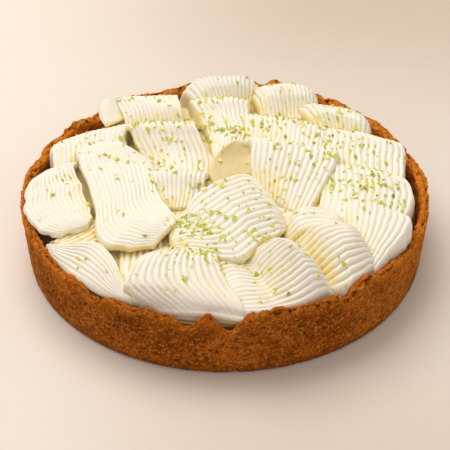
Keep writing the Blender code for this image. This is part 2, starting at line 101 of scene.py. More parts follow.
# Ribbons from the last piped to the first.  Each station holds the two ends of the nozzle
# slot in mm (outer x, y, z, then inner x, y, z).  Crown is the rise in mm of the middle
# between them, one for all stations or one for each, and a higher power makes it fuller.
# A ribbon with a thickness is a sheet; one with a foot is solid down to that height in mm.
# Teeth counts the ribs, ribs scales their depth, and sway is how far in mm they wander.
# Smooth spots (share along, share across, reach) are where the ribs are smeared.
RIBBONS = {
    "ribbon_centre": dict(thick=6.0, crown=2, teeth=13, ribs=1, sway=0.8, stations=(
        (-30, -66, 42, -33, -42, 43), (-21, -69, 46, -26, -34, 46), (-7, -74, 47, -22, -31, 49),
        (8, -77, 48, -18, -25, 52), (16, -69, 50, -11, -19, 55), (22, -61, 50, -1, -13, 57),
        (29, -56, 48, 10, -10, 58), (33, -51, 46, 21, -17, 54), (36, -45, 43, 31, -33, 45))),
    "ribbon_left_sweep": dict(thick=5.0, crown=2, teeth=15, ribs=1, sway=1.2,
        smooth=((0.4, 0.95, 0.22),), stations=(
        (-87, 36, 43, -57, 42, 43), (-86, 21, 53, -58, 25, 54), (-81, -3, 52, -44, 14, 50),
        (-72, -34, 51, -39, -3, 49), (-66, -61, 50, -35, -18, 48), (-53, -67, 49, -30, -30, 48),
        (-38, -65, 47, -24, -40, 47))),
    "ribbon_front_dome": dict(foot=36, crown=(1, 1, 1, 1, 3, 6, 9, 8, 4), power=2,
        teeth=14, ribs=1.2, sway=0.2, smooth=((0.05, 0.5, 0.25), (0.35, 0.4, 0.16)), stations=(
        (13, -108, 38, -7, -75, 45), (18, -108, 38, -2, -71, 46), (24, -107, 38, 5, -71, 45),
        (28, -105, 38, 11, -70, 43), (36, -104, 39, 15, -67, 48), (44, -101, 40, 21, -66, 53),
        (50, -98, 41, 27, -68, 57), (55, -94, 40, 34, -69, 55), (57, -92, 37, 38, -67, 48))),
    "ribbon_front": dict(foot=30, crown=2, teeth=14, ribs=1.1, sway=0.3,
        smooth=((0.85, 0.5, 0.2), (1, 0, 0.3), (1, 0.5, 0.3), (1, 1, 0.3)), stations=(
        (-41, -62, 43, -4, -61, 43), (-47, -77, 49, -3, -73, 48), (-52, -88, 48, -1, -82, 46),
        (-53, -94, 46, 4, -92, 43), (-50, -96, 43, 9, -100, 41), (-45, -98, 39, 12, -106, 38),
        (-36, -102, 34, 13, -108, 34))),
    "ribbon_left": dict(thick=4.5, crown=2, teeth=13, ribs=1, sway=1.4, stations=(
        (-104, 16, 40, -84, 27, 40), (-110, -6, 49, -85, 7, 51), (-111, -19, 48, -80, -5, 47),
        (-110, -33, 46, -77, -19, 46), (-103, -46, 45, -74, -28, 46),
        (-89, -50, 45, -73, -33, 46), (-74, -44, 46, -72, -35, 46))),
    "ribbon_small_curl": dict(foot=38, crown=1, teeth=5, ribs=0.4, sway=0.6, stations=(
        (35, -53, 42, 33, -38, 46), (41, -52, 48, 39, -36, 52), (50, -51, 50, 50, -35, 53),
        (59, -53, 50, 61, -38, 52), (64, -57, 46, 67, -44, 47))),
    "ribbon_centre_curl": dict(foot=38, crown=1, teeth=14, ribs=0.8, sway=0.4, stations=(
        (12, 34, 44, 66, 27, 44), (12, 29, 54, 66, 20, 52), (14, 25, 57, 65, 13, 53),
        (15, 19, 55, 62, 2, 51), (14, 9, 49, 55, -11, 47), (16, -4, 42, 46, -28, 41))),
    "ribbon_centre_scoop": dict(foot=38, crown=-2, teeth=5, ribs=0.1, sway=0.3, stations=(
        (8, 33, 46, 26, 34, 46), (4, 28, 54, 26, 28, 54), (-6, 20, 49, 26, 20, 49),
        (-10, 11, 45, 28, 11, 45), (-8, 2, 42, 30, 4, 42))),
    "ribbon_front_right_dome": dict(foot=36, crown=(1, 3, 5, 7, 7, 5, 2), power=2,
        teeth=11, ribs=1.3, sway=0.2, stations=(
        (57, -91, 38, 39, -54, 46), (60, -91, 39, 43, -52, 49), (64, -90, 40, 48, -51, 53),
        (68, -88, 41, 56, -51, 55), (74, -83, 41, 63, -52, 55), (79, -76, 41, 69, -51, 52),
        (83, -71, 38, 73, -51, 46))),
    "ribbon_front_right": dict(foot=37, crown=2, teeth=10, ribs=1, sway=0.6, stations=(
        (66, -12, 41, 101, -30, 42), (67, -20, 47, 102, -43, 50), (66, -33, 47, 98, -54, 49),
        (66, -48, 45, 91, -64, 46), (64, -60, 41, 82, -74, 42))),
    "ribbon_right": dict(foot=38, crown=2, teeth=14, ribs=0.8, sway=0.8,
        smooth=((0.9, 0.3, 0.3),), stations=(
        (56, 24, 41, 103, 3, 41), (55, 15, 48, 104, -6, 49), (54, -1, 47, 106, -15, 47),
        (52, -18, 44, 103, -27, 44), (50, -34, 41, 98, -42, 41))),
    "ribbon_inner_right": dict(foot=38, crown=2, teeth=17, ribs=0.5, sway=0.6, stations=(
        (12, 74, 42, 63, 58, 42), (11, 60, 50, 61, 46, 50), (11, 50, 48, 58, 35, 48),
        (11, 40, 44, 56, 23, 45), (12, 28, 41, 55, 12, 41))),
    "ribbon_right_back": dict(foot=38, crown=2, teeth=14, ribs=0.8, sway=0.8, stations=(
        (56, 60, 41, 97, 42, 41), (56, 48, 49, 103, 29, 50), (56, 38, 48, 105, 20, 48),
        (55, 26, 45, 104, 9, 44), (55, 12, 41, 102, 0, 41))),
    "ribbon_inner_left": dict(thick=4.0, crown=2, teeth=12, ribs=1.1, sway=0.4,
        smooth=((0.45, 0.5, 0.2),), stations=(
        (-60, 54, 42, -14, 62, 42), (-58, 44, 53, -17, 47, 53), (-54, 34, 48, -13, 37, 48),
        (-49, 24, 43, -9, 27, 42), (-47, 12, 42, -8, 14, 41), (-44, -1, 51, -10, -1, 50),
        (-42, -13, 46, -12, -12, 45), (-39, -26, 41, -16, -24, 41))),
    "ribbon_inner_back": dict(foot=38, crown=3, teeth=11, ribs=1, sway=0.8,
        smooth=((0.75, 0.5, 0.25),), stations=(
        (-24, 84, 45, 17, 88, 44), (-21, 71, 51, 15, 74, 51), (-16, 62, 48, 15, 66, 48),
        (-12, 52, 45, 17, 57, 45), (-10, 40, 43, 17, 47, 43), (-8, 28, 41, 12, 34, 41))),
    "ribbon_far_right_dome": dict(foot=36, crown=(5, 9, 11, 9, 3), power=4,
        teeth=13, ribs=0.6, sway=0.3, smooth=((0.3, 0.8, 0.4),), stations=(
        (41, 80, 37, 83, 66, 37), (41, 76, 42, 87, 60, 42), (44, 70, 44, 88, 54, 44),
        (49, 62, 44, 87, 47, 44), (55, 53, 41, 84, 41, 41))),
    "ribbon_back_right_dome": dict(foot=36, crown=(5, 9, 11, 9, 3), power=4,
        teeth=15, ribs=0.55, sway=0.3, stations=(
        (11, 94, 37, 50, 97, 37), (12, 89, 42, 56, 92, 42), (14, 84, 45, 58, 86, 45),
        (18, 76, 44, 58, 79, 44), (22, 68, 41, 56, 70, 41))),
    "ribbon_back_dome": dict(foot=36, crown=(6, 11, 13, 10, 3), power=4,
        teeth=16, ribs=0.5, sway=0.3, stations=(
        (-29, 94, 38, 17, 100, 38), (-28, 90, 44, 21, 97, 44), (-26, 85, 47, 22, 92, 47),
        (-20, 78, 47, 21, 86, 46), (-13, 71, 43, 19, 80, 42))),
    "ribbon_back_left_arch": dict(thick=1.2, crown=2, teeth=14, ribs=0.6, sway=0.3,
        smooth=((0.35, 0, 0.3), (0.6, 0.85, 0.4)), stations=(
        (-72, 60, 40, -30, 86, 38), (-76, 66, 44, -30, 90, 44), (-76, 73, 48, -29, 86, 48),
        (-70, 76, 51, -28, 78, 50), (-64, 70, 49, -26, 70, 49), (-61, 63, 45, -25, 65, 45),
        (-61, 57, 40, -24, 60, 39))),
    "ribbon_left_back": dict(foot=37, crown=3, teeth=15, ribs=0.9, sway=1.4,
        smooth=((0.4, 0.9, 0.3),), stations=(
        (-93, 44, 38, -55, 62, 38), (-99, 34, 46, -56, 50, 50), (-101, 27, 49, -57, 41, 50),
        (-101, 18, 47, -59, 30, 47), (-98, 8, 43, -61, 20, 43), (-94, 2, 39, -62, 12, 39))),
    "ribbon_front_left": dict(foot=36, crown=3, teeth=9, ribs=1.3, sway=0.4, stations=(
        (-96, -58, 40, -94, -55, 43), (-91, -67, 39, -82, -60, 47), (-83, -76, 38, -68, -61, 49),
        (-74, -84, 38, -59, -72, 48), (-66, -90, 37, -53, -86, 44), (-58, -95, 37, -49, -95, 40))),
    "ribbon_front_left_under": dict(foot=37, crown=1, teeth=9, ribs=1, sway=0.5, stations=(
        (-81, -29, 43, -60, -49, 43), (-87, -36, 42, -70, -58, 42), (-91, -46, 41, -85, -61, 41),
        (-93, -50, 41, -92, -53, 41))),
    "ribbon_front_left_inner": dict(foot=36, crown=1, teeth=7, ribs=1, sway=0.5, stations=(
        (-57, -52, 43, -33, -55, 43), (-57, -69, 43, -33, -69, 43), (-56, -85, 42, -36, -87, 42),
        (-53, -93, 39, -38, -96, 39))),
}

# Patches of zest and of crumbs: x, y, spread across and spread deep in mm, and how many.
ZEST_PATCHES = (
    (60, 24, 26, 18, 170), (30, 52, 22, 8, 80), (72, -14, 16, 14, 80), (4, 48, 5, 4, 14),
    (-26, 52, 12, 3, 30), (-52, 44, 6, 3, 16), (82, -4, 4, 4, 22), (92, -24, 6, 5, 20),
    (5, -30, 20, 14, 60), (-24, -46, 5, 4, 30), (-10, -50, 6, 4, 26), (-8, -74, 7, 3, 24),
    (-72, 2, 18, 22, 36), (-30, 8, 12, 16, 50), (-12, 60, 10, 10, 34), (0, 88, 14, 6, 20),
    (38, 84, 13, 6, 18), (70, 60, 12, 7, 36), (46, -72, 18, 12, 30), (24, -84, 12, 12, 16),
    (-28, -88, 12, 10, 18), (-76, -70, 8, 8, 5), (-95, -8, 10, 16, 12), (-45, 72, 16, 6, 20),
    (20, -64, 4, 4, 10), (34, -8, 12, 12, 36), (-80, 30, 10, 8, 18), (-36, 30, 12, 10, 30),
    (-20, -40, 4, 3, 14), (-14, -54, 6, 3, 20), (-24, -61, 5, 4, 20), (-12, -72, 6, 2, 16),
    (0, -64, 5, 3, 14), (15, -60, 4, 3, 12),
)
CRUMB_PATCHES = (
    (-76, 22, 2, 2, 2), (-28, 46, 2, 2, 1), (-22, -42, 3, 3, 3), (12, 54, 20, 4, 4),
    (50, 36, 10, 8, 3), (44, -74, 4, 3, 1), (84, -14, 3, 3, 2), (-37, 2, 2, 2, 1),
)

# Places of extra painted warm shade on a ribbon: x, y and reach in mm, and how much.
WARM_SHADE_PLACES = {
    "cream_centre_scoop": ((8, 18, 90, 1.0),), "cream_front_left_under": ((-80, -48, 12, 0.25),),
    "cream_centre_curl": ((24, -3, 12, 0.4),), "cream_inner_right": ((26, 46, 14, 0.25),),
    "cream_front_dome": ((26, -92, 11, 0.35), (-2, -96, 9, 0.3)),
    "cream_front": ((-24, -99, 12, 0.25), (3, -88, 7, 0.3)),
    "cream_right": ((81, -12, 10, 0.35),), "cream_front_right": ((96, -30, 9, 0.35),),
    "cream_inner_left": ((-37, -20, 9, 0.25),), "cream_front_right_dome": ((59, -88, 8, 0.3),),
}

# Crumbled edge: angle round the pie and half width in degrees, rise in mm.
RIM_BUMPS = (
    (20, 11, -2.0), (38, 6, 1.0), (53, 6, 2.5), (61, 4, 2.5), (74, 5, 6.5), (81, 4, 3.0),
    (101, 5, 2.0), (112, 5, -1.0), (121, 5, 1.5), (135, 6, -3.5), (150, 6, -2.0),
    (163, 6, -2.0), (222, 8, -2.5), (233, 9, -7.0), (244, 7, -5.0), (253, 6, -4.0),
    (260, 6, -10.0), (271, 6, -12.0), (284, 6, 2.0), (304, 3, -5.0), (311, 6, 4.0),
    (332, 8, -1.8), (270, 90, 2.0), (90, 90, -1.8),
)

# Section of the crust in mm, and its rows of points.
SIDE_START = 0.8
LIP = 2.2
INNER_DEPTH = 13.0
INNER_FLOOR = 6.0
SIDE_ROWS, LIP_ROWS, INNER_ROWS = 56, 14, 14
# Sizes of its crumbs, and the least and most that they stand out, in mm.
CRUMB_SIZES = (4.6, 2.6, 1.3)
RELIEF_LOW, RELIEF_HIGH = -1.8, 0.75
# Depth in mm of the rougher band and of the redder band under the rim, whose brighter colour is
# partly painted light, and of the dark foot.
ROUGH_BAND, RIM_BAND, FOOT_BAND = 8.0, 7.0, 6.0

# ---------------------------------------------------------------- floor, lights and camera

FLOOR_SIZE, FLOOR_STEPS = 4.0, 200
# Painted shade on the floor, in darker patches: x, y and reach in mm, and depth.
FLOOR_SHADES = (
    (180, 300, 170, 0.75), (20, 290, 110, 0.45), (20, -190, 90, 0.5), (130, -170, 80, 0.3),
)
# Lights: name, place and width in metres, and power in watts.
LIGHTS = (("key", (-0.38, 0.42, 1.16), 1.1, 12.5), ("front", (0.0, -1.06, 0.75), 0.7, 1.6))
LIGHT_COLOUR = (1.0, 0.94, 0.87)
LIGHT_TARGET = Vector((0.0, 0.0, 0.02))
ROOM_COLOUR, ROOM_STRENGTH = (1.0, 0.945, 0.875), 0.5
CAMERA_TARGET = Vector((0.0, 0.0, 0.0123))
CAMERA_DISTANCE = 0.86
CAMERA_ELEVATION = math.radians(37.24)
CAMERA_LENS = 118.27


# ---------------------------------------------------------------- settings

class PieCreamSettings(bpy.types.PropertyGroup):
    """Sizes and colours of the piped cream."""

    rib_depth: FloatProperty(
        name="Rib depth", description="Height of the ribs over their grooves",
        default=1.5 * MM, unit="LENGTH")
    full_crown_width: FloatProperty(
        name="Full crown width", description="Ribbon width from which the crown is full",
        default=30.0 * MM, unit="LENGTH")
    samples_per_rib: IntProperty(
        name="Samples per rib", description="Points across one rib", default=8, min=4)
    unevenness: FloatProperty(
        name="Unevenness", description="Height of the low lumps", default=0.9 * MM,
        unit="LENGTH")
    edge_round: FloatProperty(
        name="Edge round", description="Radius of a ribbon's upper edges", default=3.0 * MM,
        unit="LENGTH")
    bed_radius: FloatProperty(
        name="Bed radius", description="Radius of the low cream under the ribbons",
        default=92.0 * MM, unit="LENGTH")
    bed_top: FloatProperty(
        name="Bed top", description="Height of the low cream", default=39.5 * MM,
        unit="LENGTH")
    bed_round: FloatProperty(
        name="Bed round", description="Radius of the low cream's edge", default=6.0 * MM,
        unit="LENGTH")
    tuck_low: FloatProperty(
        name="Tuck height", description="Cream below this height stays inside the rim",
        default=32.0 * MM, unit="LENGTH")
    tuck_rise: FloatProperty(
        name="Tuck rise", description="Height over which the cream may lean further out",
        default=7.0 * MM, unit="LENGTH")
    tuck_radius: FloatProperty(
        name="Tuck radius", description="Radius that the lower cream stays inside",
        default=109.0 * MM, unit="LENGTH")
    hollow_rays: IntProperty(
        name="Hollow rays", description="Rays that test how shut in a point is", default=16)
    hollow_reach: FloatProperty(
        name="Hollow reach", description="How far those rays look", default=22.0 * MM,
        unit="LENGTH")
    hollow_cell: FloatProperty(
        name="Hollow cell", description="Points this close share one test",
        default=2.0 * MM, unit="LENGTH")
    rows: IntProperty(name="Rows", description="Points along a ribbon", default=100, min=20)
    colour: FloatVectorProperty(
        name="Cream colour", description="Colour of the cream", subtype="COLOR", size=3,
        default=(0.95, 0.89, 0.785), min=0.0, max=1.0)
    # Painted warm shade: the colour the cream is given where it is shut in between the ribbons.
    valley_shade_colour: FloatVectorProperty(
        name="Valley colour", description="Colour deep between the ribbons", subtype="COLOR",
        size=3, default=(0.94, 0.80, 0.42), min=0.0, max=1.0)


class PieCrustSettings(bpy.types.PropertyGroup):
    """Sizes and colours of the crumb crust."""

    rim_height: FloatProperty(
        name="Rim height", description="Mean height of the rim", default=39.0 * MM,
        unit="LENGTH")
    wall: FloatProperty(
        name="Wall", description="Thickness of the side", default=7.4 * MM, unit="LENGTH")
    steps: IntProperty(name="Steps", description="Points round the crust", default=1120)
    colour: FloatVectorProperty(
        name="Crust colour", description="Main colour of the baked crumb", subtype="COLOR",
        size=3, default=(0.53, 0.145, 0.012), min=0.0, max=1.0)
    # The redder rim band, also made brighter as painted light for the light that falls on the rim.
    rim_colour_and_light: FloatVectorProperty(
        name="Rim colour", description="Redder brown of the rim", subtype="COLOR", size=3,
        default=(0.92, 0.28, 0.026), min=0.0, max=1.0)
    fleck_colour: FloatVectorProperty(
        name="Fleck colour", description="Pale sandy flecks", subtype="COLOR", size=3,
        default=(0.78, 0.36, 0.08), min=0.0, max=1.0)


class PieToppingSettings(bpy.types.PropertyGroup):
    """Zest and crumbs sprinkled on the cream."""

    zest_shortest: FloatProperty(
        name="Shortest zest", description="Length of the smallest fleck", default=1.3 * MM,
        unit="LENGTH")
    zest_longest: FloatProperty(
        name="Longest zest", description="Length of the largest fleck", default=4.4 * MM,
        unit="LENGTH")
    zest_thickness: FloatProperty(
        name="Zest thickness", description="Mean thickness of a fleck", default=0.6 * MM,
        unit="LENGTH")
    crumb_size: FloatProperty(
        name="Crumb size", description="Size of a crumb on the cream", default=2.2 * MM,
        unit="LENGTH")


# ---------------------------------------------------------------- helpers

def link_mesh(name, points, faces):
    """New object from points in metres and faces."""
    mesh = bpy.data.meshes.new(name)
    mesh.from_pydata([tuple(point) for point in points], [], faces)
    mesh.update()
    mesh.validate()
    mesh.shade_smooth()
    piece = bpy.data.objects.new(name, mesh)
    bpy.context.scene.collection.objects.link(piece)
    return piece


def add_attribute(piece, name, values):
    """Store one number per point, for the materials to read."""
    layer = piece.data.attributes.new(name, "FLOAT", "POINT")
    layer.data.foreach_set("value", np.asarray(values, dtype=np.float32).ravel())


def dress(piece, material, nodes=()):
    """Give a piece its material and body, and hide the nodes that it stands for."""
    piece.data.materials.clear()
    piece.data.materials.append(material)
    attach(piece, BODY)
    if nodes:
        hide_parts(*nodes)


def wave(values, seed):
    """Smooth wandering number between about -1 and 1, along one axis."""
    phase = random.Random(seed)
    total = np.zeros_like(values)
    for octave in range(3):
        turn = phase.uniform(0.0, math.tau)
        rate = 2.0 ** octave * phase.uniform(0.85, 1.15)
        total += np.sin(values * rate + turn) / (octave + 1.0)
    return total / 1.6


# ---------------------------------------------------------------- materials

class Nodes:
    """Small helper that adds and joins shader nodes."""

    def __init__(self, name):
        self.material = bpy.data.materials.new(name)
        self.material.use_nodes = True
        self.tree = self.material.node_tree
        self.shader = self.tree.nodes["Principled BSDF"]

    def add(self, kind, **settings):
        """Add a node; settings are its properties."""
        node = self.tree.nodes.new("ShaderNode" + kind)
        for key, value in settings.items():
            setattr(node, key, value)
        return node

    def join(self, source, target):
        """Link an output to an input."""
        self.tree.links.new(source, target)

    def object_place(self):
        """Coordinates fixed to the object."""
        return self.add("TexCoord").outputs["Object"]

    def noise(self, scale, detail=4.0, roughness=0.55):
        """Noise texture in object coordinates."""
        node = self.add("TexNoise")
        node.inputs["Scale"].default_value = scale
        node.inputs["Detail"].default_value = detail
        node.inputs["Roughness"].default_value = roughness
        self.join(self.object_place(), node.inputs["Vector"])
        return node.outputs["Fac"]

    def cells(self, scale):
        """Cells in object coordinates, each with its own random colour."""
        node = self.add("TexVoronoi")
        node.inputs["Scale"].default_value = scale
        self.join(self.object_place(), node.inputs["Vector"])
        return node.outputs["Color"]

    def attribute(self, name):
        """One stored number per point."""
        return self.add("Attribute", attribute_name=name).outputs["Fac"]

    def ramp(self, source, stops):
        """Colour ramp; stops are (place, colour)."""
        node = self.add("ValToRGB")
        elements = node.color_ramp.elements
        while len(elements) < len(stops):
            elements.new(0.5)
        for element, (place, colour) in zip(elements, stops):
            element.position = place
            element.color = (*colour, 1.0)
        self.join(source, node.inputs["Fac"])
        return node.outputs["Color"]

    def blend(self, first, second, share, mode="MIX"):
        """Mix two colours; any argument may be an output or a value."""
        node = self.add("Mix", data_type="RGBA", blend_type=mode)
        for value, socket in ((share, 0), (first, 6), (second, 7)):
            if isinstance(value, bpy.types.NodeSocket):
                self.join(value, node.inputs[socket])
            elif socket == 0:
                node.inputs[socket].default_value = value
            else:
                node.inputs[socket].default_value = (*value, 1.0)
        return node.outputs[2]

    def front_to_back(self, scale):
        """Number that grows from front to back, one half at the middle of the object."""
        place = self.add("SeparateXYZ")
        self.join(self.object_place(), place.inputs["Vector"])
        node = self.add("Math", operation="MULTIPLY_ADD")
        self.join(place.outputs["Y"], node.inputs[0])
        node.inputs[1].default_value = scale
        node.inputs[2].default_value = 0.5
        return node.outputs[0]

    def bump(self, height, strength, distance):
        """Bump map on the shader."""
        node = self.add("Bump")
        node.inputs["Strength"].default_value = strength
        node.inputs["Distance"].default_value = distance
        self.join(height, node.inputs["Height"])
        self.join(node.outputs["Normal"], self.shader.inputs["Normal"])


def cream_material(settings):
    """Whipped cream: soft and a little glossy, with painted warm shade, yellower and darker, in
    its hollows.
    """
    nodes = Nodes("whipped_cream")
    shader = nodes.shader
    top = np.array(settings.colour)
    mottled = nodes.blend(top, top * 0.97, nodes.noise(60.0, 3.0))
    # Painted warm shade: the cream turns to the valley shade colour where it is shut in.
    hollow_shade = nodes.attribute("hollow_shade")
    shut = nodes.ramp(hollow_shade, ((0.26, BLACK), (0.72, WHITE)))
    # Painted shade: the deepest hollows are darkened further.
    deep = nodes.ramp(hollow_shade, ((0.72, WHITE), (1.0, (0.84, 0.82, 0.86))))
    valley_shaded = nodes.blend(mottled, settings.valley_shade_colour, shut)
    nodes.join(nodes.blend(valley_shaded, deep, 1.0, "MULTIPLY"), shader.inputs["Base Color"])
    shader.inputs["Roughness"].default_value = 0.42
    shader.inputs["Specular IOR Level"].default_value = 0.35
    shader.inputs["Subsurface Weight"].default_value = 0.8
    shader.inputs["Subsurface Radius"].default_value = (1.0, 0.98, 0.94)
    shader.inputs["Subsurface Scale"].default_value = 1.2 * MM
    nodes.bump(nodes.noise(1400.0, 3.0), 0.25, 0.15 * MM)
    return nodes.material


def crust_material(settings):
    """Baked crumb: golden brown grains, pale flecks, a darker foot, painted shade in its pits and
    towards its front, and a redder rim made brighter as painted light.
    """
    nodes = Nodes("baked_crumb")
    shader = nodes.shader
    body, rim = np.array(settings.colour), np.array(settings.rim_colour_and_light)
    sand = np.array(settings.fleck_colour)
    grains = nodes.ramp(nodes.cells(760.0), ((0.25, body * 0.5), (0.5, body), (0.75, body * 1.5)))
    clumps = nodes.ramp(nodes.cells(360.0), ((0.25, body * 0.6), (0.5, body), (0.75, body * 1.25)))
    crumb = nodes.blend(grains, clumps, 0.4)
    # Painted shade: crumb and rim darker towards the front and a little lighter towards the back,
    # as the light falls on them.
    painted_front_shade = nodes.ramp(nodes.front_to_back(4.3), (
        (0.0, (0.66, 0.57, 0.45)), (0.4, (1.05, 1.05, 1.05)), (1.0, (1.1, 1.15, 1.2))))
    patches = nodes.ramp(nodes.noise(30.0, 6.0, 0.7), (
        (0.38, (0.68, 0.6, 0.5)), (0.5, WHITE), (0.64, (1.25, 1.4, 1.7))))
    front_shaded = nodes.blend(crumb, painted_front_shade, 1.0, "MULTIPLY")
    patchy = nodes.blend(front_shaded, patches, 1.0, "MULTIPLY")
    edge = nodes.blend(rim, painted_front_shade, 1.0, "MULTIPLY")
    edged = nodes.blend(patchy, nodes.blend(patchy, edge, 0.6), nodes.attribute("rim"))
    flecks = nodes.ramp(nodes.cells(900.0), ((0.70, BLACK), (0.8, (0.42, 0.42, 0.42))))
    flecked = nodes.blend(edged, sand, flecks)
    low = nodes.blend(flecked, body * 0.42, nodes.attribute("low"))
    # Painted shade in the sunken crumbs and pits.
    pit_shaded = nodes.blend(low, body * 0.4, nodes.attribute("pit_shade"))
    nodes.join(pit_shaded, shader.inputs["Base Color"])
    shader.inputs["Roughness"].default_value = 0.85
    shader.inputs["Specular IOR Level"].default_value = 0.05
    nodes.bump(nodes.noise(900.0, 8.0, 0.85), 1.0, 1.0 * MM)
    return nodes.material


def shaded_filling_material():
    """Filling painted in dark browns as the shade seen in the gaps."""
    nodes = Nodes("shade_dark_filling")
    # Painted shade: dark browns for the shadow deep in the gaps.
    base = nodes.ramp(nodes.noise(120.0, 4.0), (
        (0.3, (0.18, 0.085, 0.02)), (0.7, (0.34, 0.20, 0.05))))
    nodes.join(base, nodes.shader.inputs["Base Color"])
    nodes.shader.inputs["Roughness"].default_value = 0.45
    nodes.bump(nodes.noise(500.0, 4.0), 0.4, 0.4 * MM)
    return nodes.material


def zest_material():
    """Lime zest from yellow-green to olive."""
    nodes = Nodes("lime_zest")
    base = nodes.ramp(nodes.attribute("tone"), (
        (0.0, (0.33, 0.38, 0.010)), (0.35, (0.58, 0.62, 0.03)), (0.65, (0.78, 0.78, 0.09)),
        (1.0, (0.92, 0.86, 0.34))))
    nodes.join(base, nodes.shader.inputs["Base Color"])
    nodes.shader.inputs["Roughness"].default_value = 0.5
    nodes.shader.inputs["Subsurface Weight"].default_value = 0.2
    nodes.shader.inputs["Subsurface Radius"].default_value = (0.6, 0.8, 0.2)
    nodes.shader.inputs["Subsurface Scale"].default_value = 0.5 * MM
    return nodes.material


def crumb_material():
    """Light baked crumb that fell on the cream."""
    nodes = Nodes("loose_crumb")
    base = nodes.ramp(nodes.attribute("tone"), (
        (0.0, (0.50, 0.22, 0.04)), (1.0, (0.78, 0.50, 0.18))))
    nodes.join(base, nodes.shader.inputs["Base Color"])
    nodes.shader.inputs["Roughness"].default_value = 0.8
    return nodes.material


def floor_material():
    """Pale surface with broad painted shade, warmer and darker in patches."""
    nodes = Nodes("pale_floor")
    light = nodes.ramp(nodes.noise(3.0, 2.0), (
        (0.3, (0.83, 0.765, 0.695)), (0.7, (0.84, 0.775, 0.705))))
    # Painted shade: the floor turns warmer and darker where the light is weaker.
    base = nodes.blend(light, (0.62, 0.50, 0.40), nodes.attribute("shade"))
    nodes.join(base, nodes.shader.inputs["Base Color"])
    nodes.shader.inputs["Roughness"].default_value = 0.6
    return nodes.material


# ---------------------------------------------------------------- cream

def smooth_through(points, places):
    """Catmull-Rom curve through points, read at places from 0 to len(points) - 1."""
    points = np.asarray(points, dtype=float)
    padded = np.vstack((2.0 * points[0] - points[1], points, 2.0 * points[-1] - points[-2]))
    index = np.clip(places.astype(int), 0, len(points) - 2)
    share = (places - index)[:, None]
    before, start, end, after = (padded[index + shift] for shift in range(4))
    return 0.5 * (
        2.0 * start
        + (end - before) * share
        + (2.0 * before - 5.0 * start + 4.0 * end - after) * share ** 2
        + (3.0 * start - before - 3.0 * end + after) * share ** 3
    )


def unit(vectors):
    """Vectors scaled to length one."""
    return vectors / np.maximum(np.linalg.norm(vectors, axis=-1, keepdims=True), 1e-9)


def ribbon_sheet(ribbon, along, across, full_crown_width):
    """Points in metres of a ribbon's smooth top, and the normals there."""
    stations = np.array(ribbon["stations"], dtype=float) * MM
    places = along * (len(stations) - 1)
    outer = smooth_through(stations[:, :3], places)
    inner = smooth_through(stations[:, 3:], places)
    width = np.linalg.norm(inner - outer, axis=1)
    full = np.minimum(1.0, width / full_crown_width)[:, None]
    points = outer[:, None] + (inner - outer)[:, None] * across[..., None]
    crowns = np.broadcast_to(ribbon["crown"], len(stations)) * MM
    crown = np.interp(places, np.arange(len(stations)), crowns)[:, None]
    middle = np.clip(np.abs(2.0 * across - 1.0), 0.0, 1.0)
    rise = crown * full * (1.0 - middle ** ribbon.get("power", 2))
    points[..., 2] += rise
    down_stroke = np.gradient(points, axis=0)
    side_stroke = np.gradient(points, axis=1)
    normals = unit(np.cross(down_stroke, side_stroke))
    return points, normals, width


def rib_height(across, teeth, seed):
    """Broad rounded ribs with narrow grooves, from 0 to 1, no two quite the same."""
    rough = random.Random(seed)
    places = across * teeth
    index = np.clip(places.astype(int), 0, teeth - 1)
    gain = np.array([rough.uniform(0.8, 1.2) for _ in range(teeth)])[index]
    return 1.0 - gain * np.abs(2.0 * (places - index) - 1.0) ** 2.6


def rib_share(ribbon, along, across, points):
    """Share of the rib depth left at each point: smeared spots and low cream lose it."""
    share = np.ones_like(across)
    for spot_along, spot_across, reach in ribbon.get("smooth", ()):
        away = ((along[:, None] - spot_along) ** 2 + (across - spot_across) ** 2) / reach ** 2
        share *= 1.0 - 0.85 * np.exp(-away * 1.5)
    fade_low, fade_rise = 37.0 * MM, 5.0 * MM
    return share * np.clip((points[..., 2] - fade_low) / fade_rise, 0.25, 1.0)


def uneven(points, step_rows, step_columns, scale, depth):
    """Low lumps over a grid of points, worked out on every few points and blended."""
    rows = np.arange(0, points.shape[0], step_rows)
    columns = np.arange(0, points.shape[1], step_columns)
    coarse = np.array([[noise.noise(Vector(points[row, column]) * scale) for column in columns]
                       for row in rows]) * depth
    across = np.array([np.interp(np.arange(points.shape[1]), columns, line) for line in coarse])
    return np.array([np.interp(np.arange(points.shape[0]), rows, across[:, column])
                     for column in range(points.shape[1])]).T


def rounded_drop(distance, radius):
    """How far a rounded edge has dropped at a distance in from it."""
    inside = np.clip(radius - distance, 0.0, radius)
    return radius - np.sqrt(radius ** 2 - inside ** 2)


def round_ends(grid, radius):
    """Add rows that curve down past both ends of a solid ribbon's top."""
    def curve(edge, inward):
        away = edge - inward
        away[:, 2] = 0.0
        away = unit(away)
        rows = []
        for degrees in (30.0, 60.0, 85.0):
            turn = math.radians(degrees)
            row = edge + away * radius * math.sin(turn)
            row[:, 2] -= radius * (1.0 - math.cos(turn))
            rows.append(row)
        return rows

    start = curve(grid[0], grid[3])
    end = curve(grid[-1], grid[-4])
    return np.array(start[::-1] + list(grid) + end)


def tuck_inside_rim(points, settings):
    """Pull the lower cream in from the rim, so that only its upper part leans over."""
    reach = np.linalg.norm(points[:, :2], axis=1)
    share = np.clip((points[:, 2] - settings.tuck_low) / settings.tuck_rise, 0.0, 1.0)
    limit = settings.tuck_radius + (RIM_RADIUS * MM - settings.tuck_radius) * share
    points[:, :2] *= np.minimum(1.0, limit / np.maximum(reach, MM))[:, None]
    return points


def bridge_rings(rings):
    """Faces over a stack of closed rings, with both ends capped."""
    rows, count = rings.shape[:2]
    faces = []
    for row in range(rows - 1):
        base = row * count
        for step in range(count):
            after = (step + 1) % count
            faces.append((base + step, base + count + step, base + count + after, base + after))
    faces.append(tuple(range(count)))
    faces.append(tuple(range(rows * count - 1, (rows - 1) * count - 1, -1)))
    return faces


